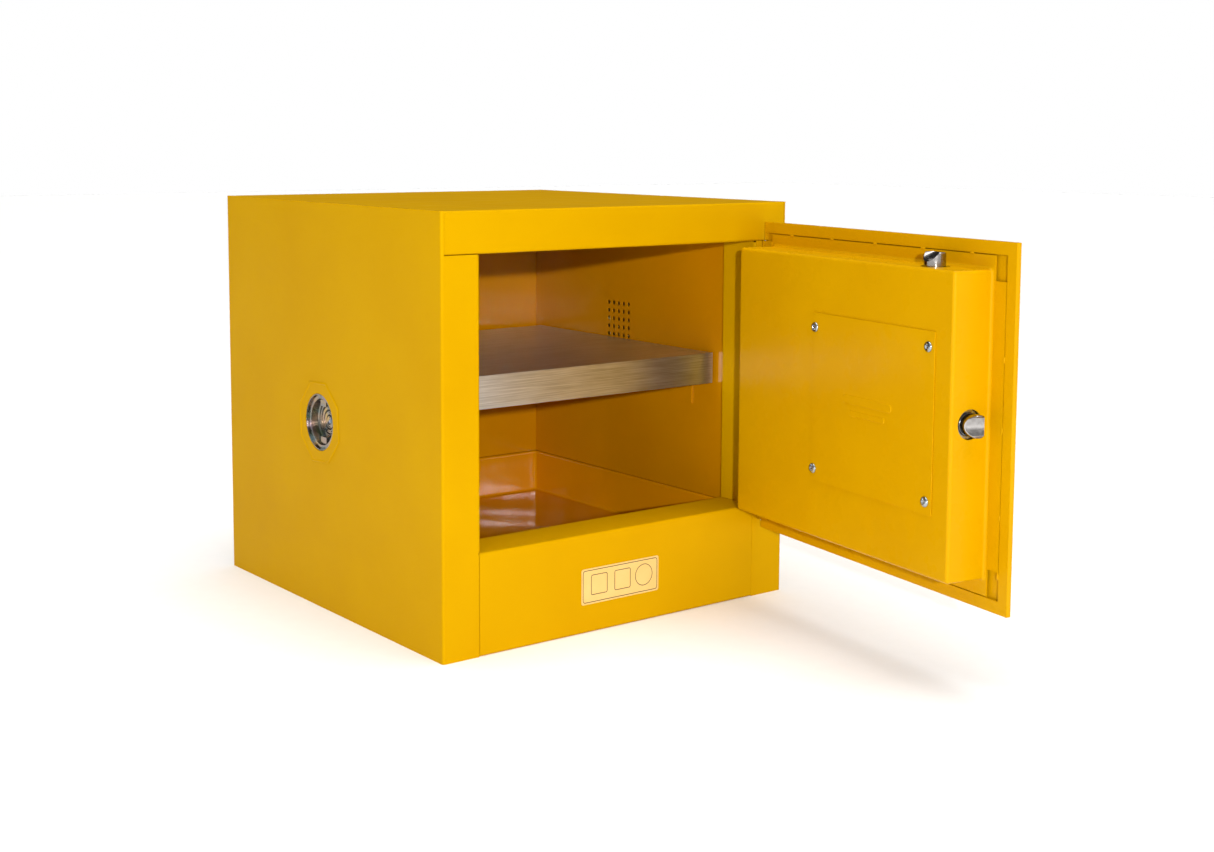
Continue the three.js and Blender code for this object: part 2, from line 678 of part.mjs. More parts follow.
place(cabinet, 'left_side_panel', 'yellow', leftSidePanel());
place(cabinet, 'right_side_panel', 'yellow', rightSidePanel());
place(cabinet, 'top_panel', 'yellow', topPanel());
place(cabinet, 'kick_panel', 'yellow', kickPanel());
place(cabinet, 'back_panel', 'yellow', backPanel());
place(cabinet, 'bottom_panel', 'yellow', bottomPanel());
place(cabinet, 'left_liner', 'liner', sideLiner(leftVentZ));
place(cabinet, 'right_liner', 'liner', sideLiner(rightVentZ).mirror([1, 0, 0]));
place(cabinet, 'back_liner', 'liner', backLiner());
place(cabinet, 'ceiling_liner', 'liner', ceilingLiner());
place(cabinet, 'sump_pan', 'liner', sumpPan());
place(cabinet, 'shelf', 'galvanised', shelf());
for (const [name, side, y] of [
  ['front_left', -1, -105], ['front_right', 1, -105], ['rear_left', -1, 105], ['rear_right', 1, 105],
]) {
  place(cabinet, `shelf_bracket_${name}`, 'liner', shelfBracket(side, y));
}

const ventPieces = [
  ['vent_flange', 'zinc', ventFlange],
  ['vent_gasket', 'rubber', ventGasket],
  ['vent_plug', 'zinc', ventPlug],
  ['vent_duct', 'zinc', ventDuct],
  ['vent_screen', 'brass', ventScreen],
];
for (const [name, finish, make] of ventPieces) {
  place(cabinet, `left_${name}`, finish, make(leftVentZ));
  place(cabinet, `right_${name}`, finish, make(rightVentZ).mirror([1, 0, 0]));
}

place(cabinet, 'front_label', 'label', frontLabel());
place(cabinet, 'ground_stud', 'brass', groundStud());
place(cabinet, 'ground_nut', 'brass', groundNut());
place(cabinet, 'hinge_leaf_cabinet', 'yellow', cabinetHingeLeaf());
place(cabinet, 'hinge_pin', 'zinc', hingePin());

place(door, 'hinge_leaf_door', 'yellow', doorHingeLeaf());
place(door, 'door_skin', 'yellow', doorSkin());
place(door, 'door_pan', 'yellow', doorPan());
place(door, 'cover_plate', 'yellow', coverPlate());
screwPlaces.forEach((at, i) => place(door, `cover_screw_${i + 1}`, 'zinc', coverScrew(at)));
place(door, 'latch_dish', 'latch', latchDish());
place(door, 'latch_paddle', 'latch', latchPaddle());
place(door, 'paddle_pin', 'zinc', paddlePin());
place(door, 'lock_cylinder', 'chrome', lockCylinder());
place(door, 'lock_cam', 'zinc', lockCam());
place(door, 'crank', 'zinc', crank());
place(door, 'crank_post', 'zinc', crankPost());
place(door, 'crank_spring', 'zinc', crankSpring());
place(door, 'side_bolt', 'chrome', sideBolt());
place(door, 'top_bolt', 'chrome', topBolt());
place(door, 'side_link', 'zinc', sideLink());
place(door, 'top_link', 'zinc', topLink());
place(door, 'side_guide', 'zinc', sideGuide());
place(door, 'top_guide', 'zinc', topGuide());

export default cabinet;
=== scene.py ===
import json
import math
import random
import bmesh
import bpy
from mathutils import Matrix, Vector


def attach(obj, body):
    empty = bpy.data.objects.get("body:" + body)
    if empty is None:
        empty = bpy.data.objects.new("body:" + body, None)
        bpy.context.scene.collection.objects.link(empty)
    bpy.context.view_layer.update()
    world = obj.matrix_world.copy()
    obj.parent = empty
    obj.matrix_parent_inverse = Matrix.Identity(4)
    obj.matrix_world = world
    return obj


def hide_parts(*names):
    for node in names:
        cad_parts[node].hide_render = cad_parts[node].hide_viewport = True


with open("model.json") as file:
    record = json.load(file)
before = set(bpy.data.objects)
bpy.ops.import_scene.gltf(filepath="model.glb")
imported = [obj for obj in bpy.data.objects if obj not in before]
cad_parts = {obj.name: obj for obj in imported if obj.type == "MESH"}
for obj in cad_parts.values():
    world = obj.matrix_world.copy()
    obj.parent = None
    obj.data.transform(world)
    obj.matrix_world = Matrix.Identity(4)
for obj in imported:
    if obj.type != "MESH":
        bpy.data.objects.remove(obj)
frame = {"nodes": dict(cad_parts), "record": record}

random.seed(7)
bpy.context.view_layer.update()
mm = 0.001
nodes = frame["nodes"]
print("frame loaded:", len(nodes), "nodes")

doorPin = Vector((0.18515, -0.2351, 0.0))  # hinge line, in metres from the cabinet's origin
doorAngle = math.radians(81)
doorFrame = Matrix.Translation(doorPin) @ Matrix.Rotation(doorAngle, 4, "Z")  # door's axes, from the pin


def colour(hexValue):
    channels = [int(hexValue[i:i + 2], 16) / 255 for i in (1, 3, 5)]
    linear = [c / 12.92 if c <= 0.04045 else ((c + 0.055) / 1.055) ** 2.4 for c in channels]
    return (*linear, 1.0)


def addNode(tree, kind, values=None, links=None):
    node = tree.nodes.new(kind)
    for key, value in (values or {}).items():
        if isinstance(key, str) and hasattr(node, key):
            setattr(node, key, value)
        else:
            node.inputs[key].default_value = value
    for key, source in (links or {}).items():
        tree.links.new(source, node.inputs[key])
    return node


def startMaterial(name):
    material = bpy.data.materials.new(name)
    material.use_nodes = True
    tree = material.node_tree
    tree.nodes.clear()
    place = addNode(tree, "ShaderNodeTexCoord").outputs["Object"]
    return material, tree, place


def endMaterial(tree, shader):
    addNode(tree, "ShaderNodeOutputMaterial", links={"Surface": shader.outputs["BSDF"]})


# Noise cells per metre, so 9 is a pattern 111 mm across and 700 one 1.4 mm across.
grain = {"coatDrift": 9, "coatMottle": 700, "coatRub": 35, "coatPeel": 420, "platingCloud": 30,
         "chromateDrift": 38, "chromatePool": 64, "chromateGrain": 500, "plainCloud": 60}


# Powder coat on sheet steel: baked resin, so a soft gloss over a faint orange peel and no visible grain.
def powderCoat(name, light, dark, roughness, specular):
    material, tree, place = startMaterial(name)
    drift = addNode(tree, "ShaderNodeTexNoise", {"Scale": grain["coatDrift"], "Detail": 3}, {"Vector": place})
    mottle = addNode(tree, "ShaderNodeTexNoise", {"Scale": grain["coatMottle"], "Detail": 2},
                     {"Vector": place})
    blend = addNode(tree, "ShaderNodeMath", {"operation": "MULTIPLY_ADD", 1: 0.25},
                    {0: mottle.outputs["Fac"], 2: drift.outputs["Fac"]})
    shade = addNode(tree, "ShaderNodeMapRange", {"From Min": 0.4, "From Max": 0.85},
                    {"Value": blend.outputs[0]})
    tint = addNode(tree, "ShaderNodeMix", {"data_type": "RGBA", 6: colour(dark), 7: colour(light)},
                   {0: shade.outputs["Result"]})
    rub = addNode(tree, "ShaderNodeTexNoise", {"Scale": grain["coatRub"], "Detail": 6}, {"Vector": place})
    gloss = addNode(tree, "ShaderNodeMapRange", {"From Min": 0.3, "From Max": 0.7, "To Min": roughness - 0.03,
                    "To Max": roughness + 0.04}, {"Value": rub.outputs["Fac"]})  # dulled where it is handled
    peel = addNode(tree, "ShaderNodeTexNoise", {"Scale": grain["coatPeel"], "Detail": 1}, {"Vector": place})
    bump = addNode(tree, "ShaderNodeBump", {"Strength": 0.035, "Distance": 0.0003},
                   {"Height": peel.outputs["Fac"]})
    shader = addNode(tree, "ShaderNodeBsdfPrincipled", {"IOR": 1.5, "Specular IOR Level": specular},
                     {"Base Color": tint.outputs[2], "Roughness": gloss.outputs["Result"],
                      "Normal": bump.outputs["Normal"]})
    endMaterial(tree, shader)
    return material


# Metal sheet and plated fittings: colour and roughness drift with the plating, bump from drawing or spangle.
def platedMetal(name, light, dark, roughness, drawing, stretch, relief):
    material, tree, place = startMaterial(name)
    run = addNode(tree, "ShaderNodeMapping", {"Scale": stretch}, {"Vector": place})
    lines = addNode(tree, "ShaderNodeTexNoise", {"Scale": drawing, "Detail": 4},
                    {"Vector": run.outputs["Vector"]})
    cloud = addNode(tree, "ShaderNodeTexNoise", {"Scale": grain["platingCloud"], "Detail": 3},
                    {"Vector": place})
    streak = addNode(tree, "ShaderNodeMapRange", {"From Min": 0.35, "From Max": 0.65, "To Max": 0.7},
                     {"Value": lines.outputs["Fac"]})
    tone = addNode(tree, "ShaderNodeMath", {"operation": "MULTIPLY_ADD", 1: 0.4, "use_clamp": True},
                   {0: cloud.outputs["Fac"], 2: streak.outputs["Result"]})
    tint = addNode(tree, "ShaderNodeMix", {"data_type": "RGBA", 6: colour(dark), 7: colour(light)},
                   {0: tone.outputs[0]})
    gloss = addNode(tree, "ShaderNodeMapRange", {"To Min": roughness - 0.08, "To Max": roughness + 0.12},
                    {"Value": lines.outputs["Fac"]})
    bump = addNode(tree, "ShaderNodeBump", {"Strength": relief, "Distance": 0.0002},
                   {"Height": lines.outputs["Fac"]})
    shader = addNode(tree, "ShaderNodeBsdfPrincipled", {"Metallic": 1.0},
                     {"Base Color": tint.outputs[2], "Roughness": gloss.outputs["Result"],
                      "Normal": bump.outputs["Normal"]})
    endMaterial(tree, shader)
    return material


# Zinc with a yellow chromate dip: the film's thickness drifts, so amber runs into rose, steel blue and olive.
def chromatedZinc(name, roughness):
    material, tree, place = startMaterial(name)
    drift = addNode(tree, "ShaderNodeTexNoise", {"Scale": grain["chromateDrift"], "Detail": 2},
                    {"Vector": place})
    pool = addNode(tree, "ShaderNodeTexNoise",
                   {"Scale": grain["chromatePool"], "Detail": 3, "Distortion": 0.6}, {"Vector": place})
    blend = addNode(tree, "ShaderNodeMapRange", {"From Min": 0.38, "From Max": 0.62},
                    {"Value": drift.outputs["Fac"]})
    warm, cold = (addNode(tree, "ShaderNodeMix", {"data_type": "RGBA", 6: colour(first), 7: colour(second)},
                          {0: blend.outputs["Result"]})
                  for first, second in (("#b59a66", "#94858c"), ("#7b8b9c", "#66705a")))
    choice = addNode(tree, "ShaderNodeMapRange", {"From Min": 0.4, "From Max": 0.6},
                     {"Value": pool.outputs["Fac"]})
    tint = addNode(tree, "ShaderNodeMix", {"data_type": "RGBA"},
                   {0: choice.outputs["Result"], 6: warm.outputs[2], 7: cold.outputs[2]})
    gloss = addNode(tree, "ShaderNodeMapRange", {"To Min": roughness - 0.06, "To Max": roughness + 0.1},
                    {"Value": pool.outputs["Fac"]})
    fine = addNode(tree, "ShaderNodeTexNoise", {"Scale": grain["chromateGrain"], "Detail": 2},
                   {"Vector": place})
    bump = addNode(tree, "ShaderNodeBump", {"Strength": 0.06, "Distance": 0.0002},
                   {"Height": fine.outputs["Fac"]})
    shader = addNode(tree, "ShaderNodeBsdfPrincipled", {"Metallic": 1.0},
                     {"Base Color": tint.outputs[2], "Roughness": gloss.outputs["Result"],
                      "Normal": bump.outputs["Normal"]})
    endMaterial(tree, shader)
    return material


# Moulded or painted dark parts and film: fine pebble in the surface, slight fading.
def plainFinish(name, light, dark, roughness, pebbling, relief):
    material, tree, place = startMaterial(name)
    cloud = addNode(tree, "ShaderNodeTexNoise", {"Scale": grain["plainCloud"], "Detail": 4},
                    {"Vector": place})
    pebble = addNode(tree, "ShaderNodeTexNoise", {"Scale": pebbling, "Detail": 2}, {"Vector": place})
    tint = addNode(tree, "ShaderNodeMix", {"data_type": "RGBA", 6: colour(dark), 7: colour(light)},
                   {0: cloud.outputs["Fac"]})
    gloss = addNode(tree, "ShaderNodeMapRange", {"To Min": roughness - 0.06, "To Max": roughness + 0.06},
                    {"Value": cloud.outputs["Fac"]})
    bump = addNode(tree, "ShaderNodeBump", {"Strength": relief, "Distance": 0.0002},
                   {"Height": pebble.outputs["Fac"]})
    shader = addNode(tree, "ShaderNodeBsdfPrincipled", {"IOR": 1.5},
                     {"Base Color": tint.outputs[2], "Roughness": gloss.outputs["Result"],
                      "Normal": bump.outputs["Normal"]})
    endMaterial(tree, shader)
    return material


finish = {
    # Safety yellow outside: a nearly matt sheen, so that the colour stays even on the big flats.
    "yellow_paint": powderCoat("powderCoatShell", "#ca9900", "#c59300", 0.32, 0.015),
    # Inside, the same powder lies thicker and glossier, and mirrors the walls into each other. Its colour is
    # darker and redder than the shell's: painted shade and painted warm bounce light of the closed interior.
    "yellow_inside": powderCoat("powderCoatInsidePaintedShade", "#c98600", "#c27e00", 0.13, 0.5),
    # The sump's floor and walls look wet, with highlights that break on the buckles. Its colour is redder
    # than the shell's: painted warm bounce light of the interior.
    "yellow_sump": powderCoat("powderCoatSumpPaintedBounce", "#d88e00", "#d18600", 0.06, 0.6),
    # The door's coat has a soft gloss that shows as a faint gradient across the pan.
    "yellow_door": powderCoat("powderCoatDoor", "#cf9a00", "#c99300", 0.28, 0.06),
    # Zinc-coated sheet, drawn along its length: a dull grey with long fine lines.
    "galvanised_steel": platedMetal("galvanisedSheet", "#d6dce6", "#a3aab6", 0.34, 900, (0.02, 1, 1), 0.2),
    # Bright zinc on fasteners and latch parts: cool, clear reflections.
    "zinc_plate": platedMetal("brightZincPlate", "#b9c0c4", "#8f99a2", 0.2, 400, (1, 1, 1), 0.06),
    # The bungs and flanges, dipped after plating.
    "chromate": chromatedZinc("yellowChromateZinc", 0.24),
    # Bolts and lock: polished, so they take the yellow of the door around them. Their colour is darker than
    # bright chrome and has a faint warm cast: painted shade and painted reflection of the yellow door.
    "chrome": platedMetal("polishedChromePaintedShade", "#a9a5a2", "#8e8a87", 0.16, 300, (1, 1, 1), 0.04),
    # Latch dish and paddle: satin black with a fine pebble that softens its highlights.
    "latch_black": plainFinish("satinBlackCoat", "#1d1e20", "#141516", 0.42, 900, 0.2),
    # Bung gaskets: dead matt.
    "rubber": plainFinish("nitrileRubber", "#222223", "#171717", 0.75, 1200, 0.25),
    # Grounding stud, nut and flame screens: warm and unpolished.
    "brass": platedMetal("plainBrass", "#c2a35c", "#a3854a", 0.32, 500, (1, 1, 1), 0.12),
    # Printed film: smooth buff ground and dark lines, both with a low sheen.
    "label": plainFinish("labelFilm", "#ebc378", "#e2b766", 0.38, 1500, 0.05),
    "ink": plainFinish("printedInk", "#2b231a", "#1f1912", 0.5, 1500, 0.05),
}
print("materials made:", len(finish))


shading = {"smoothBelow": 32, "weight": 80}  # degrees between faces, and how far large faces lead the normals


def makeAngleShading():
    group = bpy.data.node_groups.new("shadeByAngle", "GeometryNodeTree")
    group.interface.new_socket("Geometry", in_out="INPUT", socket_type="NodeSocketGeometry")
    group.interface.new_socket("Geometry", in_out="OUTPUT", socket_type="NodeSocketGeometry")
    start = addNode(group, "NodeGroupInput")
    fold = addNode(group, "GeometryNodeInputMeshEdgeAngle")
    gentle = addNode(group, "FunctionNodeCompare", {"operation": "LESS_THAN", "data_type": "FLOAT",
                     "B": math.radians(shading["smoothBelow"])}, {"A": fold.outputs["Unsigned Angle"]})
    faces = addNode(group, "GeometryNodeSetShadeSmooth", {"domain": "FACE", "Shade Smooth": True},
                    {"Geometry": start.outputs["Geometry"]})
    edges = addNode(group, "GeometryNodeSetShadeSmooth", {"domain": "EDGE"},
                    {"Geometry": faces.outputs["Geometry"], "Shade Smooth": gentle.outputs["Result"]})
    addNode(group, "NodeGroupOutput", links={"Geometry": edges.outputs["Geometry"]})
    return group


angleShading = makeAngleShading()


def shadeByAngle(piece):
    piece.modifiers.new("shade", "NODES").node_group = angleShading
    weigh = piece.modifiers.new("weigh", "WEIGHTED_NORMAL")  # keeps the flats flat beside rounded edges
    weigh.keep_sharp = True
    weigh.weight = shading["weight"]


# Millimetres and degrees. Coated edges are never sharp.
softEdges = {"width": 0.35, "segments": 2, "angle": 35, "weld": 0.01}
slotOf = {piece["node"]: piece["material_slot"] for piece in frame["record"]["subparts"]}
for name, piece in nodes.items():
    piece.data.materials.clear()
    onTheDoor = slotOf[name] == "yellow_paint" and name in frame["record"]["behaviour"]["bodies"]["door"]
    piece.data.materials.append(finish["yellow_door" if onTheDoor else slotOf[name]])
    piece.modifiers.new("weld", "WELD").merge_threshold = softEdges["weld"] * mm
    edge = piece.modifiers.new("softEdge", "BEVEL")
    edge.width = softEdges["width"] * mm
    edge.segments = softEdges["segments"]
    edge.limit_method = "ANGLE"
    edge.angle_limit = math.radians(softEdges["angle"])
    shadeByAngle(piece)
print("frame pieces finished")


def finishPiece(name, mesh, slotName, body, replaced=()):
    data = bpy.data.meshes.new(name)
    bmesh.ops.recalc_face_normals(mesh, faces=mesh.faces)
    mesh.to_mesh(data)
    mesh.free()
    piece = bpy.data.objects.new(name, data)
    bpy.context.scene.collection.objects.link(piece)
    onTheDoor = body == "door" and slotName == "yellow_paint"
    data.materials.append(finish["yellow_door" if onTheDoor else slotName])
    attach(piece, body)
    if replaced:
        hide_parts(*replaced)
    shadeByAngle(piece)
    return piece


# Turns a profile of (radius, height) in mm about Z and closes it on itself or on the axis.
def addSpun(mesh, profile, transform, segments=64):
    rings = []
    for radius, height in profile:
        count = 1 if radius == 0 else segments
        turns = [2 * math.pi * i / segments for i in range(count)]
        points = [Vector((radius * math.cos(t), radius * math.sin(t), height)) for t in turns]
        rings.append([mesh.verts.new(transform @ (point * mm)) for point in points])
    pairs = list(zip(rings, rings[1:]))
    if profile[0][0] > 0:
        pairs.append((rings[-1], rings[0]))
    for low, high in pairs:
        for i in range(segments):
            j = (i + 1) % segments
            corners = [low[i % len(low)], low[j % len(low)], high[j % len(high)], high[i % len(high)]]
            mesh.faces.new(list(dict.fromkeys(corners)))


# A flat outline in mm, pushed up by depth.
def addPrism(mesh, outline, z0, z1, transform):
    low, high = ([mesh.verts.new(transform @ (Vector((x, y, z)) * mm)) for x, y in outline] for z in (z0, z1))
    mesh.faces.new(low)
    mesh.faces.new(high)
    for i in range(len(low)):
        j = (i + 1) % len(low)
        mesh.faces.new([low[i], low[j], high[j], high[i]])


def roundedOutline(width, height, radius, centre=(0, 0), steps=6):
    points = []
    for k, (sx, sy) in enumerate(((1, 1), (-1, 1), (-1, -1), (1, -1))):
        for i in range(steps + 1):
            t = (k + i / steps) * math.pi / 2
            points.append((centre[0] + sx * (width / 2 - radius) + radius * math.cos(t),
                           centre[1] + sy * (height / 2 - radius) + radius * math.sin(t)))
    return points


# An outline's line of a given width: the band between it and a smaller copy.
def addBand(mesh, outer, inner, z0, z1, transform):
    rings = [[mesh.verts.new(transform @ (Vector((x, y, z)) * mm)) for x, y in outline]
             for outline, z in ((outer, z0), (outer, z1), (inner, z1), (inner, z0))]
    for low, high in zip(rings, rings[1:] + rings[:1]):
        for i in range(len(low)):
            j = (i + 1) % len(low)
            mesh.faces.new([low[i], low[j], high[j], high[i]])


def axesAt(origin, x, y, z):
    return Matrix.Translation(Vector(origin) * mm) @ Matrix((x, y, z)).transposed().to_4x4()


# Bung vents: a spun cup with pressed rings and two wrench lugs, in a flange whose neck fills the hole.
# Heights count inwards from the panel's outer face.
vent = {"mouth": 29, "neck": 30.2, "thread": 26.3, "rim": 28.4, "body": 25.9, "cup": 24.2, "floor": 12.5,
        "ringPitch": 5.2, "ringHeight": 0.7, "lug": (12, 6.8), "lugAt": 19.8, "apothem": 42, "tilt": -3,
        "pad": ((42.9, -0.35), (42.0, -1.0), (40.9, -1.0), (40.0, -0.35))}


def octagon(apothem, height):
    corner = apothem / math.cos(math.pi / 8)
    turns = [math.radians(vent["tilt"] + 22.5 + 45 * k) for k in range(8)]
    return [(corner * math.cos(t), corner * math.sin(t), height) for t in turns]


def ventCup(mesh, place):
    floor = vent["floor"]
    rings = [(vent["cup"] - 1.2 - i * 0.4, floor - vent["ringHeight"] * (0.5 - 0.5 * math.cos(
              2 * math.pi * i * 0.4 / vent["ringPitch"]))) for i in range(1, 56)]
    body, rim, cup = vent["body"], vent["rim"], vent["cup"]
    profile = [(0, floor + 2), (body - 0.8, floor + 2), (body, floor + 1.2), (body, 4), (rim - 0.3, 4),
               (rim, 3.7), (rim, 2.9), (rim - 0.5, 2.5), (cup + 0.6, 2.5), (cup, 3.2), (cup, floor - 1),
               (cup - 1, floor)]
    addSpun(mesh, profile + [ring for ring in rings if ring[0] > 1] + [(0, floor)], place)
    width, height = vent["lug"]
    for end in (-1, 1):
        addPrism(mesh, roundedOutline(width, height, 1.2, (0, end * vent["lugAt"])), 5, floor + 0.4, place)


def ventFlange(mesh, place):
    profile = [(vent["mouth"], 0.2), (vent["neck"] - 0.3, 0.2), (vent["neck"], 0.5), (vent["neck"], 17),
               (vent["thread"], 17), (vent["thread"], 5.4), (vent["mouth"], 5.4)]
    addSpun(mesh, profile, place)
    outer = [(x, y) for x, y, _ in octagon(vent["apothem"], 0)]
    shrink = (vent["neck"] - 0.1) / (vent["apothem"] / math.cos(math.pi / 8))
    inner = [(x * shrink, y * shrink) for x, y in outer]
    addBand(mesh, outer, inner, 1.5, 3.7, place)


# The flange behind telegraphs through the side panel as a low octagonal rim.
def ventPad(mesh, place):
    rings = [[mesh.verts.new(place @ (Vector(point) * mm)) for point in octagon(*level)]
             for level in vent["pad"]]
    for low, high in zip(rings, rings[1:] + rings[:1]):
        for i in range(8):
            j = (i + 1) % 8
            mesh.faces.new([low[i], low[j], high[j], high[i]])


for side, outX, ventZ in (("left", -1, 200), ("right", 1, 284)):
    place = axesAt((outX * 220.65, 12.8, ventZ), (0, -outX, 0), (0, 0, 1), (-outX, 0, 0))
    for pieceName, make, slotName, body, replaced in (
            ("VentCup", ventCup, "zinc_plate", side + "_plug", (side + "_vent_plug",)),
            ("VentFlange", ventFlange, "zinc_plate", "cabinet", (side + "_vent_flange",)),
            ("VentPad", ventPad, "yellow_paint", "cabinet", ())):
        mesh = bmesh.new()
        make(mesh, place)
        piece = finishPiece(side + pieceName, mesh, slotName, body, replaced)
        if slotName == "zinc_plate":
            piece.data.materials[0] = finish["chromate"]
print("vents made")


# Sprung bolts: a turned head cut flat on the skin side and bevelled on the leading side.
bolt = {"radius": 10.5, "flat": 5.5, "bevelFrom": 3.5, "bevelDrop": 9, "shank": 49, "stem": 5,
        "rounding": 0.6, "sides": 72, "sideTip": (-371.1, 22, 248.5), "topTip": (-305.4, 22, 399),
        "sideStem": -77.3, "topStem": -87.2}


def addBolt(mesh, place, stemEnd):
    outline, sides = [], bolt["sides"]
    for i in range(sides):
        t = 2 * math.pi * i / sides
        outline.append((bolt["radius"] * math.cos(t), max(bolt["radius"] * math.sin(t), -bolt["flat"])))

    def tipHeight(y):
        drop = (y - bolt["bevelFrom"]) / (bolt["radius"] + 1 - bolt["bevelFrom"])
        return -max(0.0, drop) * bolt["bevelDrop"]

    levels = [[mesh.verts.new(place @ (Vector((x, y, -bolt["shank"])) * mm)) for x, y in outline]]
    for inset in (bolt["rounding"], bolt["rounding"] / 3, 0):
        scale = 1 - (bolt["rounding"] - inset) / bolt["radius"]
        levels.append([mesh.verts.new(place @ (Vector((x * scale, y * scale, tipHeight(y) - inset)) * mm))
                       for x, y in outline])
    for low, high in zip(levels, levels[1:]):
        for i in range(sides):
            j = (i + 1) % sides
            mesh.faces.new([low[i], low[j], high[j], high[i]])
    mesh.faces.new(levels[0])
    tip = levels[-1]
    for i in range(1, sides // 2):  # strips across the tip, so that the bevel's line stays crisp
        corners = list(dict.fromkeys([tip[i], tip[i + 1], tip[sides - i - 1], tip[sides - i]]))
        if len(corners) > 2:
            mesh.faces.new(corners)
    mesh.faces.new([tip[0], tip[1], tip[-1]])
    addSpun(mesh, [(0, -bolt["shank"] + 0.5), (bolt["stem"], -bolt["shank"] + 0.5), (bolt["stem"], stemEnd),
                   (0, stemEnd)], place, 32)


def onDoor(matrix):
    return doorFrame @ matrix


mesh = bmesh.new()
addBolt(mesh, onDoor(axesAt(bolt["sideTip"], (0, 0, 1), (0, 1, 0), (-1, 0, 0))), bolt["sideStem"])
finishPiece("sideBolt", mesh, "chrome", "side_bolt_set", ("side_bolt",))
mesh = bmesh.new()
addBolt(mesh, onDoor(axesAt(bolt["topTip"], (1, 0, 0), (0, 1, 0), (0, 0, 1))), bolt["topStem"])
finishPiece("topBolt", mesh, "chrome", "top_bolt_set", ("top_bolt",))
print("bolts made")


# Label: printed film with a keyline and three blank marks.
label = {"centre": (-6.4, -230.5, 48), "size": (100.5, 37), "radius": 2.5, "film": 0.2, "ink": 0.05,
         "line": 0.7, "margin": 1.7, "squares": ((-27.6, 1), (2.5, 1)), "square": 21, "ring": (30.6, 1),
         "ringSize": 23}


def makeLabel():
    place = axesAt(label["centre"], (1, 0, 0), (0, 0, 1), (0, -1, 0))
    width, height = label["size"]
    film = bmesh.new()
    addPrism(film, roundedOutline(width, height, label["radius"]), 0, label["film"], place)
    finishPiece("labelFilm", film, "label", "cabinet", ("front_label",))
    ink = bmesh.new()
    z0, z1, line = label["film"], label["film"] + label["ink"], label["line"]

    def mark(w, h, r, centre, steps=6):
        addBand(ink, roundedOutline(w, h, r, centre, steps),
                roundedOutline(w - 2 * line, h - 2 * line, max(r - line, 0.2), centre, steps), z0, z1, place)
    mark(width - 2 * label["margin"], height - 2 * label["margin"], 3, (0, 0))
    for centre in label["squares"]:
        mark(label["square"], label["square"], 2, centre)
    mark(label["ringSize"], label["ringSize"], label["ringSize"] / 2, label["ring"], 16)
    piece = finishPiece("labelPrint", ink, "label", "cabinet")
    piece.data.materials[0] = finish["ink"]


makeLabel()
print("label made")


# Door pan: a shallow pressed box with rounded folds on a flat flange, cut for the bolts and latch access.
pan = {"x0": -358.1, "x1": -17.9, "z0": 105.5, "z1": 386, "face": 43.7, "flangeY": 0.5, "flangeX0": -375.6,
       "flangeX1": -4.0, "flangeZ0": 90.3, "flangeZ1": 398.7, "fold": 3.2, "sheet": 1.2, "boltHole": 13.8,
       "access": (-319.8, -163.8, 183, 308), "notch": 10, "notchClear": 3.4, "notchDepth": 2.6,
       "cutDepth": 12, "accessDepth": 6}


def panLoop(mesh, x0, x1, z0, z1, y, radius):
    outline = roundedOutline(x1 - x0, z1 - z0, radius, ((x0 + x1) / 2, (z0 + z1) / 2), 5)
    return [mesh.verts.new(doorFrame @ (Vector((x, y, z)) * mm)) for x, z in outline]


def cutFrom(piece, mesh):
    data = bpy.data.meshes.new("cutter")
    bmesh.ops.recalc_face_normals(mesh, faces=mesh.faces)
    mesh.to_mesh(data)
    mesh.free()
    cutter = bpy.data.objects.new("cutter", data)
    bpy.context.scene.collection.objects.link(cutter)
    carve = piece.modifiers.new("cut", "BOOLEAN")
    carve.object = cutter
    carve.operation = "DIFFERENCE"
    carve.solver = "EXACT"
    return cutter


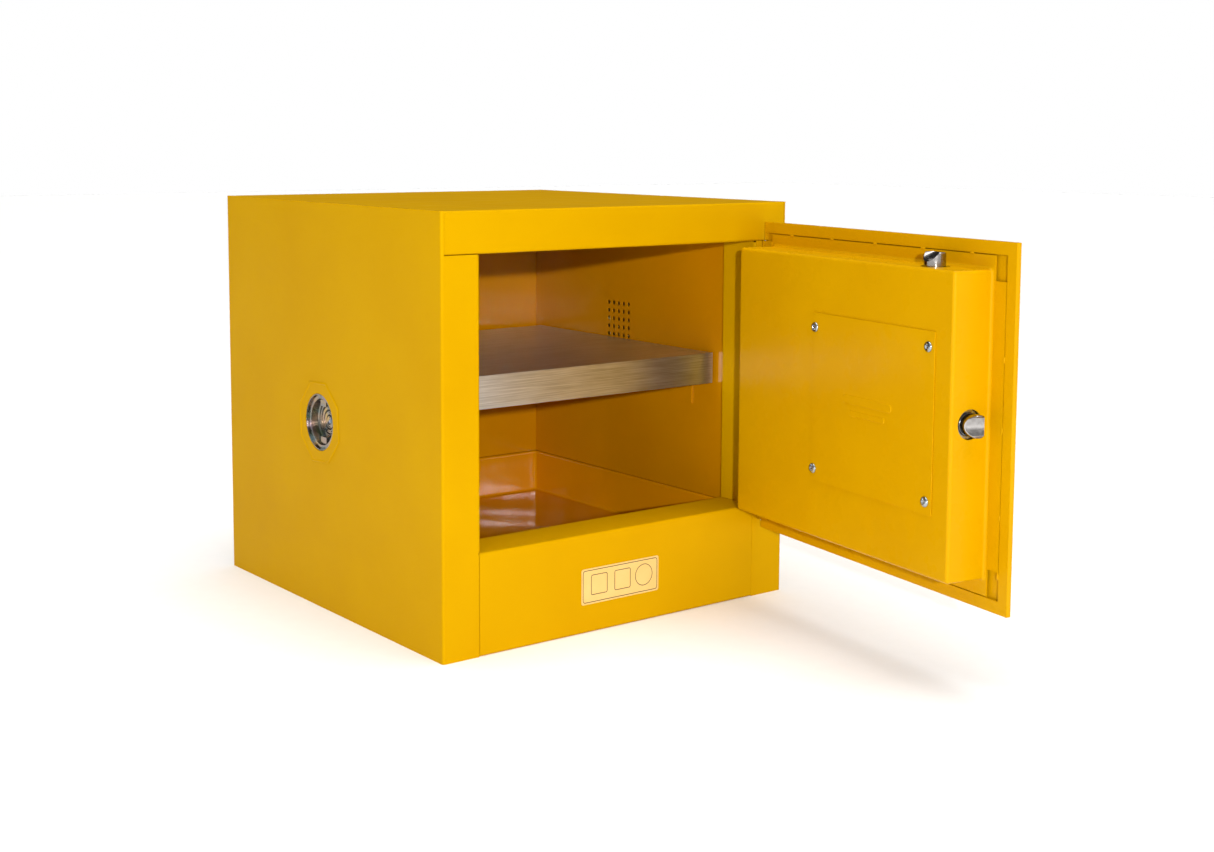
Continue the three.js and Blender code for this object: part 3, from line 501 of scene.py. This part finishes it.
def makePan():
    mesh = bmesh.new()
    fold = pan["fold"]
    loops = [panLoop(mesh, pan["flangeX0"], pan["flangeX1"], pan["flangeZ0"], pan["flangeZ1"],
                     pan["flangeY"], 1)]

    def at(out, y, radius):
        loops.append(panLoop(mesh, pan["x0"] - out, pan["x1"] + out, pan["z0"] - out, pan["z1"] + out,
                             y, radius))
    at(fold, pan["flangeY"], fold + 3)
    for i in range(1, 5):
        t = i / 4 * math.pi / 2
        at(fold * (1 - math.sin(t)), pan["flangeY"] + fold * (1 - math.cos(t)), 3 + fold * (1 - math.sin(t)))
    for i in range(5):
        t = i / 4 * math.pi / 2
        at(-fold * (1 - math.cos(t)), pan["face"] - fold * (1 - math.sin(t)), 3)
    for outer, inner in zip(loops, loops[1:]):
        for i in range(len(outer)):
            j = (i + 1) % len(outer)
            mesh.faces.new([outer[i], outer[j], inner[j], inner[i]])
    mesh.faces.new(loops[-1])
    data = bpy.data.meshes.new("panShape")
    bmesh.ops.recalc_face_normals(mesh, faces=mesh.faces)
    if sum(face.normal.dot(doorFrame.to_3x3() @ Vector((0, 1, 0))) for face in mesh.faces) < 0:
        bmesh.ops.reverse_faces(mesh, faces=mesh.faces)
    mesh.to_mesh(data)
    mesh.free()
    shape = bpy.data.objects.new("panShape", data)
    bpy.context.scene.collection.objects.link(shape)
    thick = shape.modifiers.new("sheet", "SOLIDIFY")
    thick.thickness = pan["sheet"] * mm
    thick.offset = -1
    sideHole, topHole, access = bmesh.new(), bmesh.new(), bmesh.new()
    deep = pan["cutDepth"]
    drill = [(0, -deep), (pan["boltHole"], -deep), (pan["boltHole"], deep), (0, deep)]
    addSpun(sideHole, drill, onDoor(axesAt((pan["x0"], bolt["sideTip"][1], bolt["sideTip"][2]),
                                           (0, 0, 1), (0, 1, 0), (-1, 0, 0))))
    addSpun(topHole, drill, onDoor(axesAt((bolt["topTip"][0], bolt["topTip"][1], pan["z1"]),
                                          (1, 0, 0), (0, 1, 0), (0, 0, 1))))
    x0, x1, z0, z1 = pan["access"]
    addPrism(access, roundedOutline(x1 - x0, z1 - z0, 4), -pan["accessDepth"], pan["accessDepth"],
             onDoor(axesAt(((x0 + x1) / 2, pan["face"], (z0 + z1) / 2), (1, 0, 0), (0, 0, -1), (0, 1, 0))))
    cutters = [cutFrom(shape, cutter) for cutter in (sideHole, topHole, access)]
    reach, clear, deep = pan["notch"], pan["notchClear"], pan["notchDepth"]
    ends = ((pan["flangeX0"] - 1, pan["x0"] - clear), (pan["flangeX1"] + 1, pan["x1"] + clear))
    heights = ((pan["flangeZ0"] - 1, pan["z0"] + reach), (pan["flangeZ1"] + 1, pan["z1"] - reach))
    for edgeX, wallX in ends:  # the blank's corners are cut out before it is folded
        for edgeZ, wallZ in heights:
            notch = bmesh.new()
            middle = ((edgeX + wallX) / 2, pan["flangeY"], (edgeZ + wallZ) / 2)
            addPrism(notch, roundedOutline(abs(edgeX - wallX), abs(edgeZ - wallZ), 1.5), -deep, deep,
                     onDoor(axesAt(middle, (1, 0, 0), (0, 0, -1), (0, 1, 0))))
            cutters.append(cutFrom(shape, notch))
    solid = bpy.data.meshes.new_from_object(shape.evaluated_get(bpy.context.evaluated_depsgraph_get()))
    for spare in (shape, *cutters):
        bpy.data.objects.remove(spare)
    final = bmesh.new()
    final.from_mesh(solid)
    finishPiece("doorPan", final, "yellow_paint", "door", ("door_pan",))


makePan()


# Cover plate's fixings and the two blank bars pressed into it.
cover = {"face": 45.2, "screws": ((-155.9, 316), (-326.9, 316), (-155.9, 175), (-326.9, 175)), "head": 5.0,
         "dome": 2.3, "domeSteps": 14, "cross": (0.9, 2.5), "crossDepth": 1.2, "barX": -239.5, "barBase": 45,
         "barRise": 0.6, "bars": ((74, 9, 252), (54, 6, 239))}  # bars: width, height and Z


def makeScrew(number, x, z, turn):
    place = onDoor(axesAt((x, cover["face"], z), (1, 0, 0), (0, 0, -1), (0, 1, 0)))
    rings = cover["domeSteps"]
    head = bmesh.new()
    profile = [(0, -0.1), (cover["head"], 0)]
    for i in range(1, rings + 1):
        t = i / rings * math.pi / 2
        profile.append((cover["head"] * math.cos(t) if i < rings else 0, cover["dome"] * math.sin(t) ** 0.8))
    addSpun(head, profile, Matrix.Identity(4), 64)
    half, reach = cover["cross"]
    spin = Matrix.Rotation(turn, 3, "Z")
    for vert in head.verts:
        local = spin @ (vert.co / mm)
        u, v = abs(local.x), abs(local.y)
        if vert.co.z > 0.5 * mm and (u < half and v < reach or v < half and u < reach):
            vert.co.z -= cover["crossDepth"] * mm * (1 - max(u, v) / (reach + 1))
    for vert in head.verts:
        vert.co = place @ vert.co
    finishPiece("coverScrew" + number, head, "zinc_plate", "door", ("cover_screw_" + number,))


for i, (x, z) in enumerate(cover["screws"], 1):
    makeScrew(str(i), x, z, random.uniform(0, math.pi / 2))


def makeBars():
    mesh = bmesh.new()
    for width, height, z in cover["bars"]:
        place = onDoor(axesAt((cover["barX"], cover["barBase"], z), (1, 0, 0), (0, 0, -1), (0, 1, 0)))
        outer = roundedOutline(width, height, height / 2 - 0.1)
        inner = roundedOutline(width - 1.6, height - 1.6, height / 2 - 0.9)
        rings = [[mesh.verts.new(place @ (Vector((x, y, level)) * mm)) for x, y in ring]
                 for ring, level in ((outer, 0), (inner, cover["barRise"]))]
        for i in range(len(outer)):
            j = (i + 1) % len(outer)
            mesh.faces.new([rings[0][i], rings[0][j], rings[1][j], rings[1][i]])
        mesh.faces.new(rings[1])
        mesh.faces.new(rings[0][::-1])
    finishPiece("coverBars", mesh, "yellow_paint", "door")


makeBars()


# Weld tacks that bridge the gap between the pan's flange and the skin's hems.
tack = {"length": 7, "width": 2.4, "rise": 0.7, "sideX": -375.6, "sideZ": (307, 244, 165, 112),
        "hingeX": -17, "hingeZ": (296, 190),
        "topZ": 399.2, "topX": (-330, -262, -190, -120, -50)}


def makeTacks():
    mesh = bmesh.new()
    spots = [(tack["sideX"], z, 0) for z in tack["sideZ"]] + [(x, tack["topZ"], 1) for x in tack["topX"]]
    spots += [(tack["hingeX"], z, 0) for z in tack["hingeZ"]]
    for x, z, across in spots:
        size = (tack["length"], tack["width"]) if across else (tack["width"], tack["length"])
        grown = random.uniform(0.8, 1.2)
        scale = Matrix.Diagonal((size[0] / 2 * grown * mm, tack["rise"] * mm, size[1] / 2 * grown * mm, 1))
        place = onDoor(Matrix.Translation(Vector((x, 0.5, z)) * mm)) @ scale
        bmesh.ops.create_uvsphere(mesh, u_segments=20, v_segments=12, radius=1, matrix=place)
    for vert in mesh.verts:
        vert.co += Vector((random.uniform(-1, 1), random.uniform(-1, 1), random.uniform(-1, 1))) * 0.04 * mm
    finishPiece("weldTacks", mesh, "yellow_paint", "door")


makeTacks()
print("door trim made")


# Sump: one welded pan, glossy inside, its floor a little buckled by the welding.
sump = {"halfX": 178.55, "y0": -178.7, "y1": 182.4, "floor": 47.5, "rim": 97.8, "lip": 12, "fillet": 3,
        "buckle": 1.1, "sheet": 1.2}


def sumpLoop(mesh, grow, z, radius, shrink=1.0, buckle=False):
    midY, halfY = (sump["y0"] + sump["y1"]) / 2, (sump["y1"] - sump["y0"]) / 2
    corners = roundedOutline(2 * (sump["halfX"] + grow), 2 * (halfY + grow), max(radius, 0.5), (0, midY), 5)
    points = []
    for i, (x, y) in enumerate(corners):
        nx, ny = corners[(i + 1) % len(corners)]
        cuts = 24 if math.hypot(nx - x, ny - y) > 100 else 1
        points += [(x + (nx - x) * k / cuts, y + (ny - y) * k / cuts) for k in range(cuts)]
    loop = []
    for x, y in points:
        x, y = x * shrink, midY + (y - midY) * shrink
        wave = math.sin(x / 58 + 0.6) * math.cos(y / 71) + 0.6 * math.sin((x + y) / 37)
        rise = sump["buckle"] * wave if buckle else 0
        loop.append(mesh.verts.new(Vector((x, y, z + rise * (1 - shrink ** 6))) * mm))
    return loop


def makeSump():
    mesh = bmesh.new()
    floor, rim, r = sump["floor"], sump["rim"], sump["fillet"]
    loops = [sumpLoop(mesh, sump["lip"], rim, 5), sumpLoop(mesh, r, rim, 5 + r)]
    for i in range(1, 5):
        t = i / 4 * math.pi / 2
        out = r * (1 - math.sin(t))
        loops.append(sumpLoop(mesh, out, rim - r * (1 - math.cos(t)), 4 + out))
    for i in range(5):
        t = i / 4 * math.pi / 2
        loops.append(sumpLoop(mesh, -r * (1 - math.cos(t)), floor + r * (1 - math.sin(t)), 4))
    for k in range(1, 24):
        loops.append(sumpLoop(mesh, -r, floor, 4, 1 - k / 24, True))
    for outer, inner in zip(loops, loops[1:]):
        for i in range(len(outer)):
            j = (i + 1) % len(outer)
            mesh.faces.new([outer[i], outer[j], inner[j], inner[i]])
    mesh.faces.new(loops[-1])
    piece = finishPiece("sumpPan", mesh, "yellow_inside", "cabinet", ("sump_pan",))
    piece.data.materials[0] = finish["yellow_sump"]
    thick = piece.modifiers.new("sheet", "SOLIDIFY")
    thick.thickness = sump["sheet"] * mm
    thick.offset = -1


makeSump()
print("sump made")


# Studio: pale floor, an even surround, a small key from the left front just above the cabinet, a soft light
# overhead and a dark cloth behind. The surround is white to the camera and dimmer in mirrors.
studio = {"surround": 0.2, "mirrored": 0.5, "mirroredBehind": 0.03, "key": 55, "keySize": 0.05,
          "keyAt": (-1.5, -2.45, 0.74), "keyAim": (0.05, -0.05, 0.25), "overhead": 3.0,
          "overheadSoftness": 60, "overheadGloss": 0.2, "overheadAt": (0, -0.3, 3), "floorHalf": 12}


def makeStudio():
    floorMesh = bmesh.new()
    bmesh.ops.create_grid(floorMesh, x_segments=1, y_segments=1, size=studio["floorHalf"])
    data = bpy.data.meshes.new("floor")
    floorMesh.to_mesh(data)
    floorMesh.free()
    floor = bpy.data.objects.new("floor", data)
    bpy.context.scene.collection.objects.link(floor)
    data.materials.append(plainFinish("paleFloor", "#fbfbfa", "#f6f6f5", 0.7, 40, 0.02))
    world = bpy.data.worlds.new("studio")
    bpy.context.scene.world = world
    world.use_nodes = True
    tree = world.node_tree
    tree.nodes.clear()
    path = addNode(tree, "ShaderNodeLightPath")
    lit = addNode(tree, "ShaderNodeBackground", {"Color": (1, 1, 1, 1), "Strength": studio["surround"]})
    seen = addNode(tree, "ShaderNodeBackground", {"Color": (1, 1, 1, 1), "Strength": 1.0})
    towards = addNode(tree, "ShaderNodeSeparateXYZ",
                      links={"Vector": addNode(tree, "ShaderNodeTexCoord").outputs["Generated"]})
    cloth = addNode(tree, "ShaderNodeMapRange", {"From Min": 0.1, "From Max": 0.6,
                    "To Min": studio["mirrored"], "To Max": studio["mirroredBehind"]},
                    {"Value": towards.outputs["Y"]})
    mirrored = addNode(tree, "ShaderNodeBackground", {"Color": (1, 1, 1, 1)},
                       {"Strength": cloth.outputs["Result"]})
    dull = addNode(tree, "ShaderNodeMixShader", links={0: path.outputs["Is Glossy Ray"],
                   1: lit.outputs[0], 2: mirrored.outputs[0]})
    both = addNode(tree, "ShaderNodeMixShader", links={0: path.outputs["Is Camera Ray"],
                   1: dull.outputs[0], 2: seen.outputs[0]})
    addNode(tree, "ShaderNodeOutputWorld", links={"Surface": both.outputs[0]})
    key = bpy.data.lights.new("key", "AREA")
    key.energy = studio["key"]
    key.size = studio["keySize"]
    overhead = bpy.data.lights.new("overhead", "SUN")
    overhead.energy = studio["overhead"]
    overhead.angle = math.radians(studio["overheadSoftness"])
    overhead.specular_factor = studio["overheadGloss"]
    aims = ((key, studio["keyAt"], studio["keyAim"]), (overhead, studio["overheadAt"], (0, 0, 0)))
    for light, at, aim in aims:
        lamp = bpy.data.objects.new(light.name, light)
        lamp.location = at
        lamp.rotation_euler = (Vector(aim) - Vector(at)).to_track_quat("-Z", "Y").to_euler()
        bpy.context.scene.collection.objects.link(lamp)
    bpy.context.scene.view_settings.view_transform = "Standard"


view = {"at": (-1.03026, -1.52582, 0.50114), "azimuth": -37.79, "elevation": 5.83, "roll": 0.30,
        "lens": 48.71, "shift": -0.1}


def makeCamera():
    azimuth, elevation, roll = (math.radians(view[k]) for k in ("azimuth", "elevation", "roll"))
    back = Vector((math.sin(azimuth) * math.cos(elevation), -math.cos(azimuth) * math.cos(elevation),
                   math.sin(elevation)))
    right = Vector((0, 0, 1)).cross(back).normalized()
    up = back.cross(right)
    right, up = (right * math.cos(roll) + up * math.sin(roll), up * math.cos(roll) - right * math.sin(roll))
    lens = bpy.data.cameras.new("camera")
    lens.lens = view["lens"]
    lens.sensor_width = 36
    lens.shift_y = view["shift"]
    camera = bpy.data.objects.new("camera", lens)
    turn = Matrix((right, up, back)).transposed().to_4x4()
    camera.matrix_world = Matrix.Translation(view["at"]) @ turn
    bpy.context.scene.collection.objects.link(camera)
    bpy.context.scene.camera = camera


makeStudio()
makeCamera()
print("studio and camera set")
